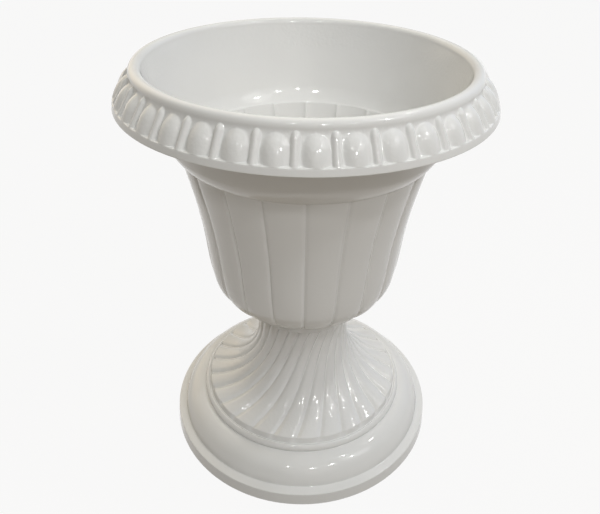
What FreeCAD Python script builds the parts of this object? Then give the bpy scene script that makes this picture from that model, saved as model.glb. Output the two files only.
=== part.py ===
import FreeCAD, Part
import math
import os
import Sketcher

# A moulded urn planter: a lobed bowl with an egg-and-dart lip, locked by a bayonet onto a fluted pedestal,
# and a push-in plug for its drain. The origin is the centre of the foot on the floor and +Z is up.
# Sizes are in mm and degrees. Azimuths are counted from +X towards +Y, heights from the floor.

UP = FreeCAD.Vector(0, 0, 1)
CENTRE = FreeCAD.Vector(0, 0, 0)

SIZES = [
    # the urn as a whole
    ("urn_height", 305.0),
    ("wall", 3.0),
    ("running_gap", 0.3),
    # lip: a rolled bead and a quirk over a turned-down egg-and-dart face that ends in a flat band
    ("rim_radius", 125.0),
    ("rim_height", 280.0),
    ("band_height", 4.5),
    ("band_draft", 1.0),
    ("ledge_width", 2.6),
    ("bead_radius", 4.0),
    ("bead_middle", 109.0),
    ("quirk_depth", 0.7),
    ("quirk_drop", 1.9),
    ("face_reach", 0.6),
    ("face_drop", 3.8),
    ("face_wall", 2.6),
    ("lip_root_radius", 102.0),
    ("lip_turn", -2.5),
    ("egg_count", 36.0),
    ("egg_foot", 9.0),
    ("egg_length", 19.4),
    ("dart_foot", 2.7),
    ("dart_length", 18.0),
    # plain cove between the lip and the lobed wall
    ("throat_height", 254.0),
    ("throat_radius", 94.0),
    ("cove_height", 237.5),
    ("cove_radius", 86.0),
    ("cove_bulge", 35.0),
    # lobed wall, from the cove down to the seat
    ("lobe_count", 20.0),
    ("lobe_depth", 1.6),
    ("lobe_turn", 0.5),
    ("lobe_step", 0.7),
    ("shoulder_height", 210.0),
    ("shoulder_radius", 78.9),
    ("waist_height", 180.0),
    ("waist_radius", 74.0),
    ("hip_height", 152.0),
    ("hip_radius", 70.8),
    ("turn_height", 137.0),
    ("turn_radius", 66.6),
    ("belly_height", 125.0),
    ("belly_radius", 56.5),
    ("seat_height", 116.0),
    ("seat_radius", 40.0),
    # bayonet between the bowl's spigot and the pedestal's collar
    ("spigot_radius", 27.0),
    ("spigot_length", 15.0),
    ("lug_count", 3.0),
    ("lug_angle", 30.0),
    ("lug_reach", 4.0),
    ("lug_height", 4.0),
    ("lock_turn", 35.0),
    ("notch_play", 4.0),
    ("stop_angle", 5.0),
    ("stop_play", 0.7),
    ("stop_height", 3.5),
    # drain and its plug
    ("drain_radius", 9.0),
    ("plug_gap", 0.1),
    ("plug_head_radius", 14.0),
    ("plug_head_height", 2.5),
    ("plug_stem_length", 11.0),
    ("plug_stem_wall", 1.8),
    ("plug_taper", 0.8),
    ("grip_height", 5.0),
    ("grip_width", 3.0),
    ("grip_length", 22.0),
    # foot of the pedestal
    ("foot_radius", 106.5),
    ("foot_draft", 0.9),
    ("foot_height", 9.9),
    ("land_radius", 99.4),
    ("land_height", 11.1),
    ("ovolo_bulge", 17.0),
    ("ring_radius", 81.2),
    ("ring_height", 27.1),
    ("ring_bulge", 3.6),
    ("step_radius", 79.7),
    ("step_height", 32.9),
    # fluted stem
    ("flute_count", 27.0),
    ("flute_depth", 1.1),
    ("flute_lean", 19.3),
    ("flute_turn", 0.73),
    ("flute_radius", 76.9),
    ("flute_height", 36.7),
    ("skirt_radius", 70.0),
    ("skirt_height", 39.3),
    ("flare_radius", 60.0),
    ("flare_height", 43.8),
    ("sweep_radius", 50.0),
    ("sweep_height", 52.0),
    ("ankle_radius", 41.5),
    ("ankle_height", 64.0),
    ("neck_radius", 36.0),
    ("neck_height", 84.0),
    ("throat_neck_radius", 37.5),
    ("collar_foot_height", 106.0),
    ("collar_radius", 39.0),
    ("collar_bore", 33.0),
    ("collar_ledge", 4.0),
]

doc = FreeCAD.newDocument("UrnPlanter")
sheet = doc.addObject("Spreadsheet::Sheet", "Sizes")
for row, (alias, value) in enumerate(SIZES, start=1):
    sheet.set(f"A{row}", alias.replace("_", " "))
    sheet.set(f"B{row}", str(value))
    sheet.setAlias(f"B{row}", alias)
doc.recompute()


def size(alias):
    """One driving dimension, as a number."""
    return float(getattr(sheet, alias))


def total(terms):
    """The sum of named sizes; a name with a minus sign in front is taken away."""
    return sum(-size(term[1:]) if term[0] == "-" else size(term) for term in terms)


def formula(terms):
    """The same sum as an expression on the sheet."""
    parts = [f"- Sizes.{term[1:]}" if term[0] == "-" else f"+ Sizes.{term}" for term in terms]
    return "0 " + " ".join(parts)


def less(terms):
    """The same sum with its sign turned round."""
    return [term[1:] if term[0] == "-" else "-" + term for term in terms]


# ------------------------------------------------------------------ sketched bodies

def new_body(name):
    return doc.addObject("PartDesign::Body", name)


def origin_plane(body, role="XZ_Plane"):
    return next(item for item in body.Origin.OriginFeatures if item.Role == role)


def upright_sketch(body, name, azimuth=None):
    """A sketch that stands on the axis: across is its X, height is its Y. azimuth is an expression."""
    sketch = body.newObject("Sketcher::SketchObject", name)
    sketch.AttachmentSupport = [(origin_plane(body), "")]
    sketch.MapMode = "FlatFace"
    if azimuth:
        sketch.AttachmentOffset = FreeCAD.Placement(CENTRE, FreeCAD.Rotation(FreeCAD.Vector(0, 1, 0), 1))
        sketch.setExpression("AttachmentOffset.Rotation.Angle", f"({azimuth}) * 1 deg")
    return sketch


def hold(sketch, kind, geometry, vertex, terms):
    """Ties one coordinate of a corner to a sum of sizes; no terms leave the corner on the sketch's axis."""
    if not terms:
        axis = -2 if kind == "DistanceX" else -1
        sketch.addConstraint(Sketcher.Constraint("PointOnObject", geometry, vertex, axis))
        return
    index = sketch.addConstraint(Sketcher.Constraint(kind, -1, 1, geometry, vertex, total(terms)))
    sketch.setExpression(f"Constraints[{index}]", formula(terms))


def hold_radius(sketch, geometry, alias):
    index = sketch.addConstraint(Sketcher.Constraint("Radius", geometry, size(alias)))
    sketch.setExpression(f"Constraints[{index}]", f"Sizes.{alias}")


def arc_between(start, end, radius, left):
    """A circular arc from start to end whose centre lies to the left or the right of the way."""
    chord = end - start
    normal = FreeCAD.Vector(-chord.y, chord.x, 0).normalize()
    rise = math.sqrt(radius ** 2 - (chord.Length / 2) ** 2)
    centre = (start + end) / 2 + normal * (rise if left else -rise)
    first, last = (start, end) if left else (end, start)
    angles = [math.atan2(point.y - centre.y, point.x - centre.x) for point in (first, last)]
    if angles[1] < angles[0]:
        angles[1] += 2 * math.pi
    return Part.ArcOfCircle(Part.Circle(centre, UP, radius), *angles)


def outline(sketch, corners, arcs=None):
    """A closed outline. corners are (across, height) lists of size names. arcs bends the side that
    starts at a corner: {corner number: (size name of its radius, "left" or "right" for its centre)}."""
    arcs = arcs or {}
    points = [FreeCAD.Vector(total(across), total(height), 0) for across, height in corners]
    ends = []
    for number, start in enumerate(points):
        end = points[(number + 1) % len(points)]
        if number in arcs:
            alias, side = arcs[number]
            geometry = sketch.addGeometry(arc_between(start, end, size(alias), side == "left"))
            ends.append((geometry, 1, 2) if side == "left" else (geometry, 2, 1))
        else:
            geometry = sketch.addGeometry(Part.LineSegment(start, end))
            ends.append((geometry, 1, 2))
    for number, (geometry, first, last) in enumerate(ends):
        following = ends[(number + 1) % len(ends)]
        sketch.addConstraint(Sketcher.Constraint("Coincident", geometry, last, following[0], following[1]))
        hold(sketch, "DistanceX", geometry, first, corners[number][0])
        hold(sketch, "DistanceY", geometry, first, corners[number][1])
        if number in arcs:
            hold_radius(sketch, geometry, arcs[number][0])
    return sketch


def turned(body, name, sketch, kind="Revolution", axis="V_Axis", angle=None):
    """A body of revolution, or a groove, all the way round or centred on its sketch for some degrees."""
    feature = body.newObject(f"PartDesign::{kind}", name)
    feature.Profile = sketch
    feature.ReferenceAxis = (sketch, [axis])
    feature.Angle = 360
    feature.Refine = False
    if angle:
        feature.Midplane = True
        feature.setExpression("Angle", f"({angle}) * 1 deg")
    sketch.Visibility = False
    return feature


def around(body, name, features, count):
    """Repeats features round the Z axis. count is the size name of their number."""
    pattern = body.newObject("PartDesign::PolarPattern", name)
    pattern.Originals = features
    pattern.Axis = (origin_plane(body, "Z_Axis"), [""])
    pattern.Angle = 360
    pattern.Refine = False
    pattern.setExpression("Occurrences", f"Sizes.{count}")
    body.Tip = pattern
    return pattern


# ------------------------------------------------------------------ lobed rings

def inset(stations, depth):
    """An outline of (radius, height) stations moved towards the axis, square to itself at each one."""
    moved = []
    for number, (radius, height) in enumerate(stations):
        before = stations[max(number - 1, 0)]
        after = stations[min(number + 1, len(stations) - 1)]
        outward, climb = after[0] - before[0], after[1] - before[1]
        share = depth / math.hypot(outward, climb)
        rise = outward if climb > 0 else -outward
        moved.append((radius - share * abs(climb), height + share * rise))
    return moved


def steepness(stations, number):
    """How upright the outline stands at a station: 1 for a vertical wall, 0 for a floor."""
    before = stations[max(number - 1, 0)]
    after = stations[min(number + 1, len(stations) - 1)]
    return abs(after[1] - before[1]) / math.hypot(after[0] - before[0], after[1] - before[1])


def lobed_ring(radius, depth, height, count, turn):
    """A level closed ring of count arcs that bulge outwards and meet in creases, depth inside radius."""
    def point(reach, step):
        angle = turn + 2 * math.pi * step / count
        return FreeCAD.Vector(reach * math.cos(angle), reach * math.sin(angle), height)
    edges = []
    for lobe in range(count):
        crease, crest, next_crease = point(radius - depth, lobe), point(radius, lobe + 0.5), point(radius - depth, lobe + 1)
        edges.append(Part.Arc(crease, crest, next_crease).toShape())
    return Part.Wire(edges)


def lobed_solid(stations, depth, count, turns):
    """A solid lofted through lobed rings, one at each (radius, height) station."""
    rings = [lobed_ring(radius, depth, height, count, turn)
             for (radius, height), turn in zip(stations, turns)]
    return Part.makeLoft(rings, True, False)


def named_stations(*names):
    return [(size(f"{name}_radius"), size(f"{name}_height")) for name in names]


def feature_of(name, shape):
    feature = doc.addObject("Part::Feature", name)
    feature.Shape = shape
    return feature


# ------------------------------------------------------------------ bowl

LEDGE = ["rim_height", "band_height"]
BAND_TOP = ["rim_radius", "-band_draft"]
FACE_FOOT = BAND_TOP + ["-ledge_width"]
FACE_TOP = ["bead_middle", "bead_radius", "face_reach"]
FACE_TOP_HEIGHT = ["urn_height", "-bead_radius", "-face_drop"]


def ornament(body, name, kind, azimuth=None):
    """One egg or dart: the outer half of a bar with a ball end, turned about its own axis, which leans
    with the lip's face and has its foot on the ledge of the band."""
    sketch = body.newObject("Sketcher::SketchObject", f"{name}Outline")
    if azimuth:
        plane = body.newObject("PartDesign::Plane", f"{name}Plane")
        plane.AttachmentSupport = [(origin_plane(body), "")]
        plane.MapMode = "FlatFace"
        plane.AttachmentOffset = FreeCAD.Placement(CENTRE, FreeCAD.Rotation(FreeCAD.Vector(0, 1, 0), 1))
        plane.setExpression("AttachmentOffset.Rotation.Angle", f"({azimuth}) * 1 deg")
        plane.Visibility = False
        sketch.AttachmentSupport = [(plane, "")]
    else:
        sketch.AttachmentSupport = [(origin_plane(body), "")]
    sketch.MapMode = "FlatFace"
    sketch.AttachmentOffset = FreeCAD.Placement(CENTRE, FreeCAD.Rotation(UP, 1))
    tilt = f"atan(({formula(FACE_FOOT + less(FACE_TOP))}) / ({formula(FACE_TOP_HEIGHT + less(LEDGE))}))"
    sketch.setExpression("AttachmentOffset.Rotation.Angle", tilt)
    sketch.setExpression("AttachmentOffset.Base.x", f"{formula(BAND_TOP)} - Sizes.{kind}_foot * cos({tilt})")
    sketch.setExpression("AttachmentOffset.Base.y", f"{formula(LEDGE)} - Sizes.{kind}_foot * sin({tilt})")
    outline(sketch, [
        ([], []),
        ([f"{kind}_foot"], []),
        ([f"{kind}_foot"], [f"{kind}_length", f"-{kind}_foot"]),
        ([], [f"{kind}_length"]),
    ], {2: (f"{kind}_foot", "left")})
    return turned(body, name, sketch, angle="180")


def make_lip():
    """The rolled lip and the plain cove under it, down to where the lobes start."""
    body = new_body("Lip")
    bead_foot = ["urn_height", "-bead_radius"]
    section = outline(upright_sketch(body, "LipSection"), [
        (["cove_radius", "-wall"], ["cove_height"]),
        (["throat_radius", "-wall"], ["throat_height"]),
        (["bead_middle", "-bead_radius"], bead_foot),
        (["bead_middle"], ["urn_height"]),
        (["bead_middle", "bead_radius"], bead_foot),
        (["bead_middle", "bead_radius", "-quirk_depth"], bead_foot + ["-quirk_drop"]),
        (FACE_TOP, FACE_TOP_HEIGHT),
        (FACE_FOOT, LEDGE),
        (BAND_TOP, LEDGE),
        (["rim_radius"], ["rim_height"]),
        (["lip_root_radius"], ["rim_height"]),
        (["throat_radius"], ["throat_height"]),
        (["cove_radius"], ["cove_height"]),
    ], {
        0: ("cove_bulge", "left"),
        2: ("bead_radius", "right"),
        3: ("bead_radius", "right"),
        10: ("cove_bulge", "right"),
    })
    turned(body, "LipRing", section)
    dart = ornament(body, "Dart", "dart")
    egg = ornament(body, "Egg", "egg", "180 / Sizes.egg_count")
    around(body, "EggAndDart", [egg, dart], "egg_count")
    crown = ["urn_height", "-bead_radius", "-wall"]
    hollow = outline(upright_sketch(body, "LipHollow"), [
        (["throat_radius"], ["throat_height"]),
        (["lip_root_radius"], ["rim_height"]),
        (["bead_middle"], crown),
        (FACE_FOOT + ["-face_wall"], LEDGE),
        (["rim_radius", "-wall"], LEDGE + ["-wall"]),
        (["rim_radius", "-wall"], ["throat_height"]),
    ])
    body.Tip = turned(body, "LipUnderside", hollow, "Groove")
    body.setExpression("Placement.Rotation.Angle", "Sizes.lip_turn * 1 deg")
    return body


def make_lobed_wall():
    """The lobed wall with its floor: one lobed solid inside another, the wall's thickness apart."""
    outside = named_stations("cove", "shoulder", "waist", "hip", "turn", "belly", "seat")
    outside[0] = (outside[0][0] - size("lobe_step"), outside[0][1])
    inside = inset(outside, size("wall"))
    inside[0] = (inside[0][0], outside[0][1])
    inside[-1] = (inside[-1][0], outside[-1][1] + size("wall"))
    turns = [math.radians(size("lobe_turn"))] * len(outside)
    count = int(size("lobe_count"))
    solids = [lobed_solid(stations, size("lobe_depth"), count, turns) for stations in (outside, inside)]
    return feature_of("LobedWall", solids[0].cut(solids[1]))


def make_spigot():
    """The tube under the bowl and the bayonet lugs on it."""
    body = new_body("Spigot")
    low = ["seat_height", "-spigot_length"]
    lug_top = ["seat_height", "-collar_ledge", "-running_gap"]
    turned(body, "Tube", outline(upright_sketch(body, "TubeSection"), [
        (["spigot_radius", "-wall"], low),
        (["spigot_radius"], low),
        (["spigot_radius"], ["seat_height"]),
        (["spigot_radius", "-wall"], ["seat_height"]),
    ]))
    lug = turned(body, "Lug", outline(upright_sketch(body, "LugSection"), [
        (["spigot_radius", "-wall"], lug_top + ["-lug_height"]),
        (["spigot_radius", "lug_reach"], lug_top + ["-lug_height"]),
        (["spigot_radius", "lug_reach"], lug_top),
        (["spigot_radius", "-wall"], lug_top),
    ]), angle="Sizes.lug_angle")
    around(body, "Lugs", [lug], "lug_count")
    return body


def make_bowl():
    solid = doc.addObject("Part::MultiFuse", "BowlSolid")
    solid.Shapes = [make_lip(), make_lobed_wall(), make_spigot()]
    drain = doc.addObject("Part::Cylinder", "Drain")
    drain.setExpression("Radius", "Sizes.drain_radius")
    drain.setExpression("Height", "Sizes.wall * 3")
    drain.setExpression("Placement.Base.z", "Sizes.seat_height - Sizes.wall")
    bowl = doc.addObject("Part::Cut", "Bowl")
    bowl.Base = solid
    bowl.Tool = drain
    bowl.Label = "bowl"
    return bowl


# ------------------------------------------------------------------ pedestal

def make_foot():
    """The round foot: a flat land, an ovolo, a small ring and the step that the flutes end on."""
    body = new_body("Foot")
    turned(body, "FootRing", outline(upright_sketch(body, "FootSection"), [
        ([], []),
        (["foot_radius"], []),
        (["foot_radius", "-foot_draft"], ["foot_height"]),
        (["land_radius"], ["land_height"]),
        (["ring_radius"], ["ring_height"]),
        (["step_radius"], ["step_height"]),
        (["flute_radius"], ["flute_height"]),
        ([], ["flute_height"]),
    ], {3: ("ovolo_bulge", "left"), 4: ("ring_bulge", "left")}))
    body.Tip = turned(body, "FootUnderside", outline(upright_sketch(body, "FootHollow"), [
        ([], []),
        (["foot_radius", "-wall"], []),
        (["foot_radius", "-foot_draft", "-wall"], ["foot_height", "-wall"]),
        (["land_radius", "-wall"], ["land_height", "-wall"]),
        (["ring_radius", "-wall"], ["ring_height", "-wall"]),
        (["step_radius", "-wall"], ["step_height", "-wall"]),
        (["flute_radius", "-wall", "-flute_depth"], ["flute_height", "-wall"]),
        ([], ["flute_height", "-wall"]),
    ], {3: ("ovolo_bulge", "left")}), "Groove")
    return body


def stem_stations():
    stations = named_stations("flute", "skirt", "flare", "sweep", "ankle", "neck")
    return stations + [(size("throat_neck_radius"), size("collar_foot_height"))]


def make_stem():
    """The trumpet of the pedestal. Its flutes lean over at a steady angle on their way up."""
    stations = stem_stations()
    count = int(size("flute_count"))
    lean = math.tan(math.radians(size("flute_lean")))
    turn = math.radians(size("flute_turn"))
    rings = []
    for number, (radius, height) in enumerate(stations):
        if number:
            last_radius, last_height = stations[number - 1]
            way = math.hypot(radius - last_radius, height - last_height)
            turn += lean * way / ((radius + last_radius) / 2)
        depth = size("flute_depth") / max(steepness(stations, number), 0.5)
        rings.append(lobed_ring(radius, depth, height, count, turn))
    return feature_of("Stem", Part.makeLoft(rings, True, False))


def make_stem_hollow():
    """The smooth core of the trumpet, from the hollow of the foot to the collar."""
    inner = inset(stem_stations(), size("wall") + size("flute_depth"))
    inner[-1] = (size("collar_bore"), size("collar_foot_height"))
    points = [FreeCAD.Vector(radius, 0, height) for radius, height in inner]
    curve = Part.BSplineCurve()
    curve.interpolate(points)
    floor = size("flute_height") - size("wall")
    low = FreeCAD.Vector(points[0].x, 0, floor)
    corners = [points[-1], FreeCAD.Vector(0, 0, points[-1].z), FreeCAD.Vector(0, 0, floor), low, points[0]]
    lines = [Part.LineSegment(a, b).toShape() for a, b in zip(corners, corners[1:]) if a.distanceToPoint(b) > 1e-6]
    section = Part.Face(Part.Wire([curve.toShape()] + lines))
    return feature_of("StemHollow", section.revolve(CENTRE, UP, 360))


def make_collar():
    """The top of the pedestal: a collar with an inner ledge, notches that let the lugs through it, and
    the stops at both ends of their turn."""
    body = new_body("Collar")
    top = ["seat_height"]
    under = ["seat_height", "-collar_ledge"]
    bore = ["spigot_radius", "running_gap"]
    turned(body, "CollarRing", outline(upright_sketch(body, "CollarSection"), [
        (["collar_bore"], ["collar_foot_height"]),
        (["collar_radius"], ["collar_foot_height"]),
        (["collar_radius"], top),
        (bore, top),
        (bore, under),
        (["collar_bore"], under),
    ]))
    notch = turned(body, "Notch", outline(upright_sketch(body, "NotchSection", "Sizes.lock_turn"), [
        (bore + ["-wall"], under + ["-wall"]),
        (bore + ["lug_reach"], under + ["-wall"]),
        (bore + ["lug_reach"], top + ["wall"]),
        (bore + ["-wall"], top + ["wall"]),
    ]), "Groove", angle="Sizes.lug_angle + Sizes.notch_play")
    around(body, "Notches", [notch], "lug_count")
    half = "(Sizes.lug_angle + Sizes.stop_angle) / 2 + Sizes.stop_play"
    stops = []
    for name, azimuth in (("LockedStop", f"-({half})"), ("FreeStop", f"Sizes.lock_turn + {half}")):
        stops.append(turned(body, name, outline(upright_sketch(body, f"{name}Section", azimuth), [
            (bore + ["running_gap"], under + ["-stop_height"]),
            (["collar_bore", "wall"], under + ["-stop_height"]),
            (["collar_bore", "wall"], top + ["-running_gap"]),
            (bore + ["running_gap"], top + ["-running_gap"]),
        ]), angle="Sizes.stop_angle"))
    around(body, "Stops", stops, "lug_count")
    return body


def make_pedestal():
    outside = doc.addObject("Part::MultiFuse", "PedestalOutside")
    outside.Shapes = [make_foot(), make_stem()]
    shell = doc.addObject("Part::Cut", "PedestalShell")
    shell.Base = outside
    shell.Tool = make_stem_hollow()
    pedestal = doc.addObject("Part::MultiFuse", "Pedestal")
    pedestal.Shapes = [shell, make_collar()]
    pedestal.Label = "pedestal"
    return pedestal


# ------------------------------------------------------------------ drain plug

def make_plug():
    """A hollow tapered stem under a flat head, with a bar across it to pull by."""
    body = new_body("Plug")
    floor = ["seat_height", "wall"]
    head = floor + ["plug_head_height"]
    stem = ["drain_radius", "-plug_gap"]
    turned(body, "HeadAndStem", outline(upright_sketch(body, "PlugSection"), [
        ([], head),
        ([], floor),
        (stem + ["-plug_stem_wall"], floor),
        (stem + ["-plug_taper", "-plug_stem_wall"], floor + ["-plug_stem_length"]),
        (stem + ["-plug_taper"], floor + ["-plug_stem_length"]),
        (stem, floor),
        (["plug_head_radius"], floor),
        (["plug_head_radius"], head),
    ]))
    grip = body.newObject("PartDesign::AdditiveBox", "Grip")
    grip.AttachmentSupport = [(origin_plane(body, "XY_Plane"), "")]
    grip.MapMode = "FlatFace"
    grip.setExpression("Length", "Sizes.grip_length")
    grip.setExpression("Width", "Sizes.grip_width")
    grip.setExpression("Height", "Sizes.grip_height + Sizes.plug_head_height")
    grip.setExpression("AttachmentOffset.Base.x", "-Sizes.grip_length / 2")
    grip.setExpression("AttachmentOffset.Base.y", "-Sizes.grip_width / 2")
    grip.setExpression("AttachmentOffset.Base.z", formula(floor))
    body.Label = "drain_plug"
    return body


# ------------------------------------------------------------------ check and write

nodes = [make_pedestal(), make_bowl(), make_plug()]
doc.recompute()

faults = [item.Name for item in doc.Objects if {"Invalid", "Error"} & set(item.State)]
for node in nodes:
    if node.Shape.isNull() or not node.Shape.isValid() or len(node.Shape.Solids) != 1:
        faults.append(f"{node.Label} shape")
if faults:
    raise RuntimeError("failed objects: " + ", ".join(faults))

os.makedirs("parts", exist_ok=True)
for node in nodes:
    node.Shape.exportStep(f"parts/{node.Label}.step")
    print(f"{node.Label}: {node.Shape.Volume / 1000:.1f} cm3, {len(node.Shape.Faces)} faces")
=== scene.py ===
import math

import bpy
import numpy as np
from mathutils import Matrix, Vector


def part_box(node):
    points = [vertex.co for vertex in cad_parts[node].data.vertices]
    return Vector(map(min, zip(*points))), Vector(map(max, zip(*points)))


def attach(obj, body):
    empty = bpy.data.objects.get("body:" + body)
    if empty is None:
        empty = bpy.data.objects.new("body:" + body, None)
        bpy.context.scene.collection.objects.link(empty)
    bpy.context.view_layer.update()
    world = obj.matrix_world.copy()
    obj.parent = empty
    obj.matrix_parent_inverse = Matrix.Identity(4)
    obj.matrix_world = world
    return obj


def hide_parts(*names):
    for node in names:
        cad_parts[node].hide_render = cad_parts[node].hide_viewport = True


# A glossy white urn planter: a lobed bowl with an egg-and-dart lip on a fluted pedestal, and its drain
# plug. Outlines are drawn in mm as (radius, height) points, walked with the material on the left, and
# turned round the Z axis. Azimuths are in degrees, counted from +X towards +Y.

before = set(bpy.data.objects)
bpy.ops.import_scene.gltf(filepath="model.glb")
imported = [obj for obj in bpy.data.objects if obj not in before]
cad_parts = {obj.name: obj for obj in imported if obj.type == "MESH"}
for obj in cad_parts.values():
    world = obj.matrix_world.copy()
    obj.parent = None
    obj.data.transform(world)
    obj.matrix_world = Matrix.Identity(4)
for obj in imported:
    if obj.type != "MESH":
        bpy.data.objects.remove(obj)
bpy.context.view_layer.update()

MM = 0.001


def top_of(node):
    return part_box(node)[1].z / MM


def reach_of(node):
    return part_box(node)[1].x / MM


# ------------------------------------------------------------------ sizes, in mm and degrees

URN_HEIGHT = top_of("bowl")
RIM_RADIUS = reach_of("bowl")
SEAT_HEIGHT = top_of("pedestal")
FOOT_RADIUS = reach_of("pedestal")
WALL = 3.0

# lip, from below: a band, a ledge, the leaning face with its eggs and darts, a scotia and a round bead;
# an ARC is the radius of an arc, and FACE_TILT is in radians
BAND_BOTTOM = 280.0
BAND_DRAFT = 1.0
LEDGE_HEIGHT = 284.5
LEDGE_WIDTH = 2.6
FACE_WALL = 2.6
BEAD_RADIUS = 4.0
BEAD_MIDDLE = 109.0
SCOTIA_WIDTH = 0.6
SCOTIA_HEIGHT = 3.8
SCOTIA_ARC = 5.0
BEAD_FOOT = (BEAD_MIDDLE + BEAD_RADIUS, URN_HEIGHT - BEAD_RADIUS)
FACE_FOOT = (RIM_RADIUS - BAND_DRAFT - LEDGE_WIDTH, LEDGE_HEIGHT)
FACE_TOP = (BEAD_FOOT[0] + SCOTIA_WIDTH, BEAD_FOOT[1] - SCOTIA_HEIGHT)
FACE_TILT = math.atan2(FACE_FOOT[0] - FACE_TOP[0], FACE_TOP[1] - FACE_FOOT[1])
LIP_ROOT_RADIUS = 102.0
LIP_TURN = -2.5

# an egg or dart has its own axis up the face: radii at its foot and waist, the heights of its waist and
# top along the axis, and the azimuth of the first one; the slack takes in points just below its foot
EGG_COUNT = 36
EGG = {"foot": 8.9, "belly": 9.8, "waist": 8.0, "length": 21.6, "azimuth": 180 / EGG_COUNT}
DART = {"foot": 2.5, "belly": 2.5, "waist": 15.0, "length": 19.2, "azimuth": 0.0}
ORNAMENT_FILLET = 0.35
ORNAMENT_SLACK = 0.01

# throat, cove and lobed wall; an edge is the share and the narrowness of the groove in a crease
THROAT = (94.0, 254.0)
COVE = (87.4, 244.0)
COVE_ARC = 35.0
LOBE_STEP = 0.7
LOBE_COUNT = 20
LOBE_TURN = 0.5
LOBE_DEPTH = 1.8
LOBE_EDGE = (0.5, 8)
BOWL_STATIONS = [(40.0, 116.0), (56.5, 125.0), (66.6, 137.0), (70.8, 152.0), (74.0, 180.0), (78.9, 210.0)]
SPIGOT_RADIUS = 27.0
SPIGOT_LENGTH = 15.0
DRAIN_RADIUS = 9.0

# pedestal, from below: foot, land, ovolo, ring, step, plateau, fluted stem and collar; the stem's even
# wall ends at COLLAR_ROOT below the collar
FOOT_DRAFT = 0.9
FOOT_HEIGHT = 9.9
LAND = (99.4, 11.1)
OVOLO_ARC = 17.0
RING = (81.2, 27.1)
RING_ARC = 3.6
STEP = (79.7, 32.9)
PLATEAU_FOOT = (78.3, 31.6)
STEM_STATIONS = [(77.3, 36.9), (70.0, 39.3), (60.0, 43.8), (50.0, 52.0), (41.5, 64.0), (36.0, 84.0),
                 (37.5, 106.0)]
FLUTE_COUNT = 27
FLUTE_DEPTH = 1.7
FLUTE_EDGE = (0.6, 3)
FLUTE_LEAN = 19.3
FLUTE_TURN = 0.73
COLLAR_RADIUS = 39.0
COLLAR_BORE = 33.0
COLLAR_LEDGE = 4.0
COLLAR_ROOT = 6.0
RUNNING_GAP = 0.3

# bayonet
LUG_COUNT = 3
LUG_ANGLE = 30.0
LUG_REACH = 4.0
LUG_HEIGHT = 4.0
LOCK_TURN = 35.0
NOTCH_PLAY = 4.0
STOP_ANGLE = 5.0
STOP_PLAY = 0.7
STOP_HEIGHT = 3.5

# how finely the outlines are cut; ROW_TURN is the most that one turns from row to row, in radians, and
# TINY keeps a division away from zero
SAMPLE = 0.2
CORNER_SOFTNESS = 0.35
FINEST_ROW = 0.35
WIDEST_ROW = 2.0
ROW_TURN = 0.12
AROUND_BOWL = 1800
AROUND_PEDESTAL = 1620
TINY = 1e-6

# ------------------------------------------------------------------ materials, camera and light

# what a plastic looks like: its two colours, its roughness, and the heights of its skin in metres
GLOSS_WHITE = {"pale": (0.84, 0.84, 0.83), "deep": (0.82, 0.82, 0.81), "roughness": 0.08,
               "peel": 0.00016, "waves": 0.0003}
SATIN_WHITE = {"pale": (0.66, 0.66, 0.64), "deep": (0.62, 0.62, 0.61), "roughness": 0.45,
               "peel": 0.0001, "waves": 0.0002}
ROUGHNESS_SPREAD = 0.03
SMOOTH_PEEL = 0.2
LIP_CARVING = (284.0, 300.0)
STEM_CARVING = (36.0, 60.0)

# noise scales per metre, and the values between which nearly all of a noise lies
COLOUR_SCALE = 14
ROUGHNESS_SCALE = 60
WAVE_SCALE = 45
GRAIN_SCALE = 400
NOISE_SPAN = (0.3, 0.7)

# the camera that was fitted to the photograph
CAMERA_PLACE = Vector((0, -394.66, 416.55)) * MM
CAMERA_PITCH = math.radians(29.795)
CAMERA_YAW = math.radians(0.56)
CAMERA_ROLL = math.radians(1.29)
FOCAL_PIXELS = 617.07
PICTURE_WIDTH = 600
PICTURE_HEIGHT = 514
PRINCIPAL = (310, 210)
SENSOR = 36.0

# floor and light, in metres and watts; a glow is an azimuth, an elevation, a focus and a colour, a
# lamp's place is an azimuth and an elevation, and all lamps aim at the urn's middle
FLOOR_REACH = 4.0
FLOOR_COLOUR = (0.36, 0.32, 0.27)
FLOOR_WHITENESS = 0.92
FLOOR_ROUGHNESS = 0.8
FLOOR_SHEEN = 0.1
PAPER_GRAIN = 0.0001
HORIZON_FOCUS = 5
GLOWS = [(0, 90, 1, (0.20, 0.20, 0.19)), (0, 85, 12, (0.45, 0.48, 0.45)), (180, 52, 12, (1.5, 1.4, 1.2)),
         (-135, 20, 12, (1.6, 1.35, 1.0)), (135, 25, 12, (0.3, 0.4, 0.6)), (10, 32, 12, (0.76, 0.74, 0.70))]
AIM = Vector((0, 0, 0.15))
KEY_PLACE = (60, 48)
KEY = {"distance": 1.2, "across": 0.5, "power": 1.2}
SPOT_PLACES = [(-10, 47), (11, 40), (31, 43), (68, 66), (58, 49), (114, 58)]
SPOT = {"distance": 1.3, "across": 0.05, "power": 1.15}


# ------------------------------------------------------------------ outlines

def line(start, end):
    share = np.linspace(0, 1, max(2, round(math.dist(start, end) / SAMPLE)), endpoint=False)[:, None]
    return np.array(start) * (1 - share) + np.array(end) * share


def path(*corners):
    """Straight lines from corner to corner."""
    return np.concatenate([line(start, end) for start, end in zip(corners, corners[1:])])


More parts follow.
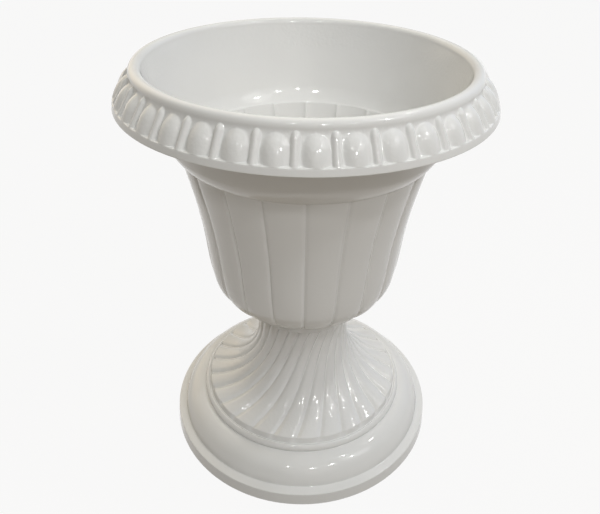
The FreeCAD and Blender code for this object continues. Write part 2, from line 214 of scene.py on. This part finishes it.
def arc(start, end, radius):
    """A circular arc whose centre lies left of the way for a positive radius, right for a negative one."""
    start, end = np.array(start, float), np.array(end, float)
    chord = end - start
    length = np.hypot(*chord)
    normal = np.array([-chord[1], chord[0]]) / length
    centre = (start + end) / 2 + normal * math.copysign(math.sqrt(radius ** 2 - length ** 2 / 4), radius)
    first = math.atan2(*(start - centre)[::-1])
    sweep = 2 * math.asin(length / 2 / abs(radius)) * math.copysign(1, radius)
    angles = first + sweep * np.linspace(0, 1, max(4, round(length / SAMPLE)), endpoint=False)
    return centre + abs(radius) * np.stack([np.cos(angles), np.sin(angles)], axis=1)


def flowing(stations):
    """A smooth line through (radius, height) stations: a natural cubic spline over the chord length."""
    knots = np.array(stations, float)
    gaps = np.hypot(*np.diff(knots, axis=0).T)
    place = np.concatenate([[0], np.cumsum(gaps)])
    count = len(knots)
    matrix = np.zeros((count, count))
    pull = np.zeros((count, 2))
    matrix[0, 0] = matrix[-1, -1] = 1
    for i in range(1, count - 1):
        matrix[i, i - 1:i + 2] = gaps[i - 1], 2 * (gaps[i - 1] + gaps[i]), gaps[i]
        pull[i] = 6 * ((knots[i + 1] - knots[i]) / gaps[i] - (knots[i] - knots[i - 1]) / gaps[i - 1])
    bend = np.linalg.solve(matrix, pull)
    at = np.linspace(0, place[-1], round(place[-1] / SAMPLE), endpoint=False)
    span = np.clip(np.searchsorted(place, at, side="right") - 1, 0, count - 2)
    gap, before, after = gaps[span, None], (at - place[span])[:, None], (place[span + 1] - at)[:, None]
    return (bend[span] * after ** 3 + bend[span + 1] * before ** 3) / (6 * gap) \
        + (knots[span] / gap - bend[span] * gap / 6) * after \
        + (knots[span + 1] / gap - bend[span + 1] * gap / 6) * before


def right_of(way):
    """Unit vectors that point to the right of a way, which is out of the material."""
    way = way / np.hypot(*way.T)[:, None]
    return np.stack([way[:, 1], -way[:, 0]], axis=1)


def inset(points, depth):
    """A line moved square to itself, into the material."""
    return points - depth * right_of(np.gradient(points, axis=0))


class Outline:
    """A closed outline cut into rows. Each row knows its zone's name, how far along the zone it lies, and
    which way points out of the material. Rows lie close where the outline bends and in the fine zones."""

    def __init__(self, zones, fine=()):
        points = self.softened(np.concatenate([samples for _, samples in zones]))
        zone = np.repeat([name for name, _ in zones], [len(samples) for _, samples in zones])
        along = np.concatenate([np.arange(len(samples)) / len(samples) for _, samples in zones])
        step = np.hypot(*(np.roll(points, -1, axis=0) - points).T)
        pitch = np.clip(ROW_TURN / np.maximum(self.bends(points, step), TINY), FINEST_ROW, WIDEST_ROW)
        pitch[np.isin(zone, fine)] = FINEST_ROW
        counted = np.concatenate([[0], np.cumsum(step / pitch)])
        count = math.ceil(counted[-1])
        rows = np.interp(np.arange(count) * counted[-1] / count, counted, np.arange(len(points) + 1))
        low = np.floor(rows).astype(int) % len(points)
        share = (rows % 1)[:, None]
        self.points = points[low] * (1 - share) + points[(low + 1) % len(points)] * share
        self.normals = right_of(self.ways(self.points))
        self.zone = zone[low]
        self.along = along[low]

    @staticmethod
    def softened(points):
        """The outline with each corner rounded off a little, as a mould leaves it."""
        reach = math.ceil(3 * CORNER_SOFTNESS / SAMPLE)
        shifts = np.arange(-reach, reach + 1)
        weights = np.exp(-0.5 * (shifts * SAMPLE / CORNER_SOFTNESS) ** 2)
        return sum(w * np.roll(points, shift, axis=0) for w, shift in zip(weights, shifts)) / weights.sum()

    @staticmethod
    def ways(points):
        return np.roll(points, -1, axis=0) - np.roll(points, 1, axis=0)

    @staticmethod
    def bends(points, step):
        """The sharpest bend near each point, in radians per mm."""
        way = Outline.ways(points)
        course = np.arctan2(way[:, 1], way[:, 0])
        turn = np.abs(np.roll(course, -1) - course) % (2 * math.pi)
        bend = np.minimum(turn, 2 * math.pi - turn) / np.maximum(step, TINY)
        reach = round(FINEST_ROW / SAMPLE)
        return np.max([np.roll(bend, shift) for shift in range(-reach, reach + 1)], axis=0)

    def rows(self, *names):
        return np.isin(self.zone, names)


# ------------------------------------------------------------------ reliefs

def crease(azimuth, count, turn, edge):
    """How deep a ring of count lobes is cut at an azimuth: 0 on each crest, 1 in each crease. The edge
    holds the share of the depth that lies in a rounded groove along the crease, and how narrow it is."""
    share, narrowness = edge
    apart = np.abs(2 * (((azimuth - turn) * count / 360) % 1) - 1)
    groove = 0.5 - 0.5 * np.cos(math.pi * apart ** narrowness)
    return (1 - share) * apart ** 2 + share * groove


def ornament_profile(kind, height):
    """The radius of an egg or dart round its own axis, at a height above its foot: it swells from the
    foot to the belly at its waist, and closes over the top as half an ellipse."""
    below = np.clip(1 - height / kind["waist"], 0, 1)
    above = np.clip((height - kind["waist"]) / (kind["length"] - kind["waist"]), 0, 1)
    return (kind["belly"] - (kind["belly"] - kind["foot"]) * below ** 2) * np.sqrt(1 - above ** 2)


def ornamented(kind, azimuth, radius, height):
    """The lip's face with a ring of eggs or darts on it, each raised square to its own leaning axis. The
    face is given by arrays of azimuth, radius and height, and comes back as such arrays."""
    pitch = 360 / EGG_COUNT
    middle = np.round((azimuth - LIP_TURN - kind["azimuth"]) / pitch) * pitch + LIP_TURN + kind["azimuth"]
    apart = np.radians(azimuth - middle)
    ahead, across = radius * np.cos(apart), radius * np.sin(apart)

    out = ahead - (RIM_RADIUS - BAND_DRAFT - kind["foot"] * math.cos(FACE_TILT))
    up = height - (LEDGE_HEIGHT - kind["foot"] * math.sin(FACE_TILT))
    along = up * math.cos(FACE_TILT) - out * math.sin(FACE_TILT)
    reach = out * math.cos(FACE_TILT) + up * math.sin(FACE_TILT)
    within = (along > -ORNAMENT_SLACK) & (along < kind["length"])
    profile = np.where(within, ornament_profile(kind, along), 0)
    gain = np.sqrt(np.maximum(profile ** 2 - across ** 2, 0)) - reach
    lift = 0.5 * (gain + np.sqrt(gain ** 2 + ORNAMENT_FILLET ** 2))

    ahead = ahead + lift * math.cos(FACE_TILT)
    azimuth = middle + np.degrees(np.arctan2(across, ahead))
    return azimuth, np.hypot(ahead, across), height + lift * math.sin(FACE_TILT)


def notched(bore, azimuth, radius):
    """The collar's bore cut back in three places, where the lugs drop through at the free end."""
    apart = (azimuth - LOCK_TURN + 180 / LUG_COUNT) % (360 / LUG_COUNT) - 180 / LUG_COUNT
    cut_back = bore[:, None] & (np.abs(apart) < (LUG_ANGLE + NOTCH_PLAY) / 2)
    return np.where(cut_back, SPIGOT_RADIUS + RUNNING_GAP + LUG_REACH, radius)


# ------------------------------------------------------------------ meshes

def turned_grid(outline, around, turns):
    """Rows of points round the axis. turns gives each row's own start azimuth."""
    azimuth = np.arange(around)[None, :] * 360 / around + turns[:, None]
    radius = np.repeat(outline.points[:, :1], around, axis=1)
    height = np.repeat(outline.points[:, 1:], around, axis=1)
    return azimuth, radius, height


def placed(azimuth, radius, height):
    """Points in metres."""
    angle = np.radians(azimuth)
    return np.stack([radius * np.cos(angle), radius * np.sin(angle), height], axis=-1) * MM


def block(inner, outer, bottom, top, middle, angle):
    """A block turned through some degrees, centred on an azimuth: a closed grid with pinched ends."""
    corners = [(inner, bottom), (outer, bottom), (outer, top), (inner, top), (inner, bottom)]
    outline = Outline([("side", path(*corners))])
    steps = np.linspace(-angle / 2, angle / 2, round(angle))
    azimuth = middle + np.concatenate([steps[:1], steps, steps[-1:]])
    centre = outline.points.mean(axis=0)
    shrink = np.ones(len(azimuth))
    shrink[[0, -1]] = 0
    ring = centre + (outline.points[:, None] - centre) * shrink[None, :, None]
    return placed(np.broadcast_to(azimuth, ring.shape[:2]), ring[..., 0], ring[..., 1])


def grid_mesh(name, grids):
    """One object made of grids of points. A grid closes on itself both ways."""
    points, faces = [], []
    base = 0
    for grid in grids:
        rows, around = grid.shape[:2]
        number = base + np.arange(rows * around).reshape(rows, around)
        up, on = np.roll(number, -1, axis=0), np.roll(number, -1, axis=1)
        faces.append(np.stack([number, on, np.roll(up, -1, axis=1), up], axis=-1).reshape(-1, 4))
        points.append(grid.reshape(-1, 3))
        base += rows * around
    points, faces = np.concatenate(points), np.concatenate(faces)
    mesh = bpy.data.meshes.new(name)
    mesh.vertices.add(len(points))
    mesh.vertices.foreach_set("co", points.astype(np.float32).ravel())
    mesh.loops.add(faces.size)
    mesh.loops.foreach_set("vertex_index", faces.astype(np.int32).ravel())
    mesh.polygons.add(len(faces))
    mesh.polygons.foreach_set("loop_start", np.arange(0, faces.size, 4, dtype=np.int32))
    mesh.update(calc_edges=True)
    mesh.polygons.foreach_set("use_smooth", np.ones(len(faces), bool))
    mesh.validate()
    piece = bpy.data.objects.new(name, mesh)
    bpy.context.scene.collection.objects.link(piece)
    return piece


# ------------------------------------------------------------------ bowl

def bowl_outline():
    floor = SEAT_HEIGHT + WALL
    lobes_top = (COVE[0] - LOBE_STEP, COVE[1])
    wall = flowing(BOWL_STATIONS + [lobes_top])
    inner_wall = inset(wall, WALL)[::-1]
    inner_wall = inner_wall[(inner_wall[:, 1] > floor) & (inner_wall[:, 1] < COVE[1])]
    inner_cove, inner_throat = (COVE[0] - WALL, COVE[1]), (THROAT[0] - WALL, THROAT[1])
    spigot_bore = SPIGOT_RADIUS - WALL
    spigot_foot = SEAT_HEIGHT - SPIGOT_LENGTH
    bead_top, bead_inside = (BEAD_MIDDLE, URN_HEIGHT), (BEAD_MIDDLE - BEAD_RADIUS, BEAD_FOOT[1])
    lip_root = (LIP_ROOT_RADIUS, BAND_BOTTOM)
    band_inside = RIM_RADIUS - WALL
    face_inside = FACE_FOOT[0] - FACE_WALL
    band_top = (RIM_RADIUS - BAND_DRAFT, LEDGE_HEIGHT)
    zones = [
        ("floor", path((DRAIN_RADIUS, SEAT_HEIGHT), (spigot_bore, SEAT_HEIGHT))),
        ("spigot", path((spigot_bore, SEAT_HEIGHT), (spigot_bore, spigot_foot),
                        (SPIGOT_RADIUS, spigot_foot), (SPIGOT_RADIUS, SEAT_HEIGHT))),
        ("seat", path((SPIGOT_RADIUS, SEAT_HEIGHT), BOWL_STATIONS[0])),
        ("lobes", wall),
        ("border", path(lobes_top, COVE)),
        ("cove", arc(COVE, THROAT, COVE_ARC)),
        ("root", path(THROAT, lip_root)),
        ("hollow", path(lip_root, (BEAD_MIDDLE, BEAD_FOOT[1] - WALL), (face_inside, LEDGE_HEIGHT),
                        (band_inside, LEDGE_HEIGHT - WALL), (band_inside, BAND_BOTTOM))),
        ("band", path((band_inside, BAND_BOTTOM), (RIM_RADIUS, BAND_BOTTOM), band_top)),
        ("face", path(band_top, FACE_FOOT, FACE_TOP)),
        ("face", arc(FACE_TOP, BEAD_FOOT, -SCOTIA_ARC)),
        ("bead", arc(BEAD_FOOT, bead_top, BEAD_RADIUS)),
        ("bead", arc(bead_top, bead_inside, BEAD_RADIUS)),
        ("inner", path(bead_inside, inner_throat)),
        ("inner", arc(inner_throat, inner_cove, -COVE_ARC)),
        ("inner_lobes", inner_wall),
        ("inner_floor", path(inner_wall[-1], (DRAIN_RADIUS, floor), (DRAIN_RADIUS, SEAT_HEIGHT))),
    ]
    return Outline(zones, fine=("face",))


def make_lugs():
    """The lugs round the spigot, under the collar's ledge."""
    top = SEAT_HEIGHT - COLLAR_LEDGE - RUNNING_GAP
    return [block(SPIGOT_RADIUS - WALL / 2, SPIGOT_RADIUS + LUG_REACH, top - LUG_HEIGHT, top,
                  360 * i / LUG_COUNT, LUG_ANGLE) for i in range(LUG_COUNT)]


def make_bowl():
    outline = bowl_outline()
    lobe_share = np.clip((THROAT[1] - outline.points[:, 1]) / (THROAT[1] - COVE[1]), 0, 1)
    turns = LIP_TURN + (LOBE_TURN - LIP_TURN) * lobe_share
    azimuth, radius, height = turned_grid(outline, AROUND_BOWL, turns)

    depth = np.where(outline.rows("lobes", "inner_lobes"), LOBE_DEPTH, 0)[:, None]
    radius = radius - depth * crease(azimuth, LOBE_COUNT, LOBE_TURN, LOBE_EDGE)
    face = outline.rows("face")
    for kind in (EGG, DART):
        raised = ornamented(kind, azimuth[face], radius[face], height[face])
        azimuth[face], radius[face], height[face] = raised

    bowl = grid_mesh("bowl_shell", [placed(azimuth, radius, height)] + make_lugs())
    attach(bowl, "bowl")
    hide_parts("bowl")
    return bowl


# ------------------------------------------------------------------ pedestal

def pedestal_outline():
    stem = flowing(STEM_STATIONS)
    collar_foot = STEM_STATIONS[-1][1]
    inner_stem = inset(stem, WALL + FLUTE_DEPTH)[::-1]
    inner_stem = inner_stem[inner_stem[:, 1] < collar_foot - COLLAR_ROOT]
    foot_top = (FOOT_RADIUS - FOOT_DRAFT, FOOT_HEIGHT)
    ledge = SEAT_HEIGHT - COLLAR_LEDGE
    bore = SPIGOT_RADIUS + RUNNING_GAP

    def lowered(corner):
        return corner[0] - WALL, corner[1] - WALL

    zones = [
        ("foot", path((FOOT_RADIUS, 0), foot_top, LAND)),
        ("ovolo", arc(LAND, RING, OVOLO_ARC)),
        ("ring", arc(RING, STEP, RING_ARC)),
        ("groove", path(STEP, PLATEAU_FOOT)),
        ("toe", path(PLATEAU_FOOT, STEM_STATIONS[0])),
        ("flutes", stem),
        ("collar", path(STEM_STATIONS[-1], (COLLAR_RADIUS, collar_foot), (COLLAR_RADIUS, SEAT_HEIGHT),
                        (bore, SEAT_HEIGHT))),
        ("bore", path((bore, SEAT_HEIGHT), (bore, ledge))),
        ("collar", path((bore, ledge), (COLLAR_BORE, ledge), (COLLAR_BORE, collar_foot))),
        ("inside", path((COLLAR_BORE, collar_foot), inner_stem[0])),
        ("inside", inner_stem),
        ("inside", path(inner_stem[-1], lowered(STEP), lowered(RING))),
        ("inside", arc(lowered(RING), lowered(LAND), -OVOLO_ARC)),
        ("inside", path(lowered(LAND), lowered(foot_top), (FOOT_RADIUS - WALL, 0))),
        ("sole", path((FOOT_RADIUS - WALL, 0), (FOOT_RADIUS, 0))),
    ]
    return Outline(zones, fine=("toe",))


def flute_turns(outline):
    """The azimuth of the first crease at each row. It grows as the flutes lean over on their way up, and
    unwinds again over the smooth rows inside."""
    rows = np.flatnonzero(outline.rows("toe", "flutes"))
    points = outline.points[rows]
    way = np.hypot(*np.diff(points, axis=0).T)
    middle = (points[1:, 0] + points[:-1, 0]) / 2
    lean = math.tan(math.radians(FLUTE_LEAN))
    gained = np.concatenate([[0], np.cumsum(np.degrees(lean * way / middle))])
    start = gained[np.argmax(outline.zone[rows] == "flutes")]
    turns = np.full(len(outline.points), FLUTE_TURN - start)
    turns[rows] += gained
    turns[rows[-1]:] = np.linspace(turns[rows[-1]], turns[0], len(turns) - rows[-1])
    return turns


def make_stops():
    """A stop on each side of every lug's travel, under and through the collar's ledge."""
    beyond = (LUG_ANGLE + STOP_ANGLE) / 2 + STOP_PLAY
    bottom, top = SEAT_HEIGHT - COLLAR_LEDGE - STOP_HEIGHT, SEAT_HEIGHT - RUNNING_GAP
    return [block(SPIGOT_RADIUS + 2 * RUNNING_GAP, COLLAR_BORE + WALL, bottom, top,
                  360 * i / LUG_COUNT + middle, STOP_ANGLE)
            for i in range(LUG_COUNT) for middle in (-beyond, LOCK_TURN + beyond)]


def make_pedestal():
    outline = pedestal_outline()
    turns = flute_turns(outline)
    azimuth, radius, height = turned_grid(outline, AROUND_PEDESTAL, turns)

    fluted = np.where(outline.rows("toe"), outline.along, outline.rows("flutes"))[:, None]
    depth = FLUTE_DEPTH * fluted * crease(azimuth, FLUTE_COUNT, turns[:, None], FLUTE_EDGE)
    radius = radius - depth * outline.normals[:, :1]
    height = height - depth * outline.normals[:, 1:]
    radius = notched(outline.rows("bore"), azimuth, radius)

    pedestal = grid_mesh("pedestal_shell", [placed(azimuth, radius, height)] + make_stops())
    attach(pedestal, "pedestal")
    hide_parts("pedestal")
    return pedestal


# ------------------------------------------------------------------ shader nodes

def node_material(name):
    material = bpy.data.materials.new(name)
    material.use_nodes = True
    tree = material.node_tree
    return material, tree, tree.nodes["Principled BSDF"]


def filled(tree, sockets, values):
    """Gives each socket a link or a plain value."""
    for socket, value in zip(sockets, values):
        if isinstance(value, bpy.types.NodeSocket):
            tree.links.new(value, socket)
        else:
            socket.default_value = value


def math_step(tree, operation, *values):
    """A math node's result. Each of its inputs is a socket or a plain number."""
    step = tree.nodes.new("ShaderNodeMath")
    step.operation = operation
    filled(tree, step.inputs, values)
    return step.outputs[0]


def vector_step(tree, operation, *values):
    """A vector node's result. Each of its inputs is a socket or a plain vector."""
    step = tree.nodes.new("ShaderNodeVectorMath")
    step.operation = operation
    filled(tree, step.inputs, values)
    return step.outputs["Value" if operation == "DOT_PRODUCT" else "Vector"]


def coordinates(tree):
    return (tree.nodes.get("Texture Coordinate") or tree.nodes.new("ShaderNodeTexCoord")).outputs["Object"]


def noise(tree, scale, detail=2.0):
    texture = tree.nodes.new("ShaderNodeTexNoise")
    texture.inputs["Scale"].default_value = scale
    texture.inputs["Detail"].default_value = detail
    tree.links.new(coordinates(tree), texture.inputs["Vector"])
    return texture.outputs["Fac"]


def ranged(tree, value, low, high, span=NOISE_SPAN):
    """A value spread over a range of its own: low at the start of its span, high at the end."""
    spread = tree.nodes.new("ShaderNodeMapRange")
    spread.inputs["From Min"].default_value, spread.inputs["From Max"].default_value = span
    spread.inputs["To Min"].default_value = low
    spread.inputs["To Max"].default_value = high
    tree.links.new(value, spread.inputs["Value"])
    return spread.outputs["Result"]


def bumped(tree, height, distance, under=None, strength=None):
    """A bumped normal. It may lie over another one, and its strength may come from a socket."""
    bump = tree.nodes.new("ShaderNodeBump")
    bump.inputs["Distance"].default_value = distance
    tree.links.new(height, bump.inputs["Height"])
    if under:
        tree.links.new(under, bump.inputs["Normal"])
    if strength:
        tree.links.new(strength, bump.inputs["Strength"])
    return bump.outputs["Normal"]


def between(tree, low, high):
    """1 for heights on the object between two levels in mm, and 0 elsewhere."""
    place = tree.nodes.new("ShaderNodeSeparateXYZ")
    tree.links.new(coordinates(tree), place.inputs["Vector"])
    return math_step(tree, "COMPARE", place.outputs["Z"], (low + high) / 2 * MM, (high - low) / 2 * MM)


def seen_directly(tree):
    """1 for the rays of the camera, mirrors and glass, 0 for the ones that only carry light."""
    ray = tree.nodes.new("ShaderNodeLightPath")
    mirrored = math_step(tree, "MAXIMUM", ray.outputs["Is Glossy Ray"], ray.outputs["Is Transmission Ray"])
    return math_step(tree, "MAXIMUM", ray.outputs["Is Camera Ray"], mirrored)


# ------------------------------------------------------------------ materials

def moulded_plastic(name, pale, deep, roughness, peel, waves, carving=(0, 0)):
    """Moulded plastic: an orange-peel skin over slow waves, and a colour that drifts a little. The skin
    stands out fully only between two levels, where the mould is carved."""
    material, tree, shader = node_material(name)
    drift = tree.nodes.new("ShaderNodeMix")
    drift.data_type = "RGBA"
    drift.inputs["A"].default_value = (*deep, 1)
    drift.inputs["B"].default_value = (*pale, 1)
    tree.links.new(ranged(tree, noise(tree, COLOUR_SCALE), 0, 1), drift.inputs["Factor"])
    tree.links.new(drift.outputs["Result"], shader.inputs["Base Color"])
    low, high = roughness - ROUGHNESS_SPREAD, roughness + ROUGHNESS_SPREAD
    tree.links.new(ranged(tree, noise(tree, ROUGHNESS_SCALE), low, high), shader.inputs["Roughness"])
    wavy = bumped(tree, noise(tree, WAVE_SCALE, 1.0), waves)
    peeled = ranged(tree, between(tree, *carving), SMOOTH_PEEL, 1, span=(0, 1))
    skin = bumped(tree, noise(tree, GRAIN_SCALE, 1.0), peel, wavy, peeled)
    tree.links.new(skin, shader.inputs["Normal"])
    return material


def floor_paper():
    """White paper: seen directly it is nearly white, and the rest of it takes the urn's soft shadow."""
    material, tree, shader = node_material("floor_paper")
    shader.inputs["Base Color"].default_value = (*FLOOR_COLOUR, 1)
    shader.inputs["Roughness"].default_value = FLOOR_ROUGHNESS
    shader.inputs["Specular IOR Level"].default_value = FLOOR_SHEEN
    tree.links.new(bumped(tree, noise(tree, GRAIN_SCALE), PAPER_GRAIN), shader.inputs["Normal"])
    white = tree.nodes.new("ShaderNodeEmission")
    mixed = tree.nodes.new("ShaderNodeMixShader")
    whiteness = math_step(tree, "MULTIPLY", seen_directly(tree), FLOOR_WHITENESS)
    filled(tree, mixed.inputs, (whiteness, shader.outputs["BSDF"], white.outputs["Emission"]))
    tree.links.new(mixed.outputs["Shader"], tree.nodes["Material Output"].inputs["Surface"])
    return material


def painted(piece, material):
    piece.data.materials.clear()
    piece.data.materials.append(material)


# ------------------------------------------------------------------ camera, floor and light

def make_camera():
    level = math.cos(CAMERA_PITCH)
    ahead = Vector((math.sin(CAMERA_YAW) * level, math.cos(CAMERA_YAW) * level, -math.sin(CAMERA_PITCH)))
    right = Vector((math.cos(CAMERA_YAW), -math.sin(CAMERA_YAW), 0))
    up = right.cross(ahead)
    rolled_right = math.cos(CAMERA_ROLL) * right + math.sin(CAMERA_ROLL) * up
    rolled_up = -math.sin(CAMERA_ROLL) * right + math.cos(CAMERA_ROLL) * up
    data = bpy.data.cameras.new("camera")
    data.sensor_width = SENSOR
    data.lens = FOCAL_PIXELS / PICTURE_WIDTH * SENSOR
    data.shift_x = (PICTURE_WIDTH / 2 - PRINCIPAL[0]) / PICTURE_WIDTH
    data.shift_y = (PRINCIPAL[1] - PICTURE_HEIGHT / 2) / PICTURE_WIDTH
    camera = bpy.data.objects.new("camera", data)
    bpy.context.scene.collection.objects.link(camera)
    turn = Matrix((rolled_right, rolled_up, -ahead)).transposed()
    camera.matrix_world = Matrix.Translation(CAMERA_PLACE) @ turn.to_4x4()
    bpy.context.scene.camera = camera


def make_floor():
    mesh = bpy.data.meshes.new("floor")
    corners = [(x * FLOOR_REACH, y * FLOOR_REACH, 0) for x, y in ((-1, -1), (1, -1), (1, 1), (-1, 1))]
    mesh.from_pydata(corners, [], [(0, 1, 2, 3)])
    floor = bpy.data.objects.new("floor", mesh)
    bpy.context.scene.collection.objects.link(floor)
    painted(floor, floor_paper())


def heading(azimuth, elevation):
    """A direction. Here azimuth 0 is the camera's side of the urn, and 90 its right."""
    angle, rise = math.radians(azimuth), math.radians(elevation)
    return Vector((math.cos(rise) * math.sin(angle), -math.cos(rise) * math.cos(angle), math.sin(rise)))


def make_world():
    """A room lit by soft glows on its ceiling and walls. A pale horizon carries the white of the floor on
    behind the urn."""
    world = bpy.data.worlds.new("room")
    world.use_nodes = True
    bpy.context.scene.world = world
    tree = world.node_tree
    direction = tree.nodes.new("ShaderNodeTexCoord").outputs["Generated"]
    rise = math_step(tree, "ABSOLUTE", vector_step(tree, "DOT_PRODUCT", direction, (0, 0, 1)))
    horizon = math_step(tree, "POWER", math_step(tree, "SUBTRACT", 1, rise), HORIZON_FOCUS)
    shown = math_step(tree, "MULTIPLY", horizon, seen_directly(tree))
    light = vector_step(tree, "MULTIPLY", shown, (FLOOR_WHITENESS, FLOOR_WHITENESS, FLOOR_WHITENESS))
    for azimuth, elevation, focus, colour in GLOWS:
        facing = vector_step(tree, "DOT_PRODUCT", direction, heading(azimuth, elevation))
        falloff = math_step(tree, "POWER", math_step(tree, "MAXIMUM", facing, 0), focus)
        light = vector_step(tree, "ADD", light, vector_step(tree, "MULTIPLY", falloff, colour))
    tree.links.new(light, tree.nodes["Background"].inputs["Color"])


def make_lamp(name, place, distance, across, power):
    data = bpy.data.lights.new(name, "AREA")
    data.shape = "DISK"
    data.size = across
    data.energy = power
    lamp = bpy.data.objects.new(name, data)
    bpy.context.scene.collection.objects.link(lamp)
    lamp.location = AIM + distance * heading(*place)
    lamp.rotation_euler = (AIM - lamp.location).to_track_quat("-Z", "Y").to_euler()


bowl = make_bowl()
pedestal = make_pedestal()
painted(bowl, moulded_plastic("gloss_white_bowl", carving=LIP_CARVING, **GLOSS_WHITE))
painted(pedestal, moulded_plastic("gloss_white_pedestal", carving=STEM_CARVING, **GLOSS_WHITE))
painted(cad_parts["drain_plug"], moulded_plastic("satin_white", **SATIN_WHITE))

make_camera()
make_floor()
make_world()
make_lamp("key", KEY_PLACE, **KEY)
for number, place in enumerate(SPOT_PLACES):
    make_lamp(f"spot_{number}", place, **SPOT)
bpy.context.scene.view_settings.view_transform = "Standard"
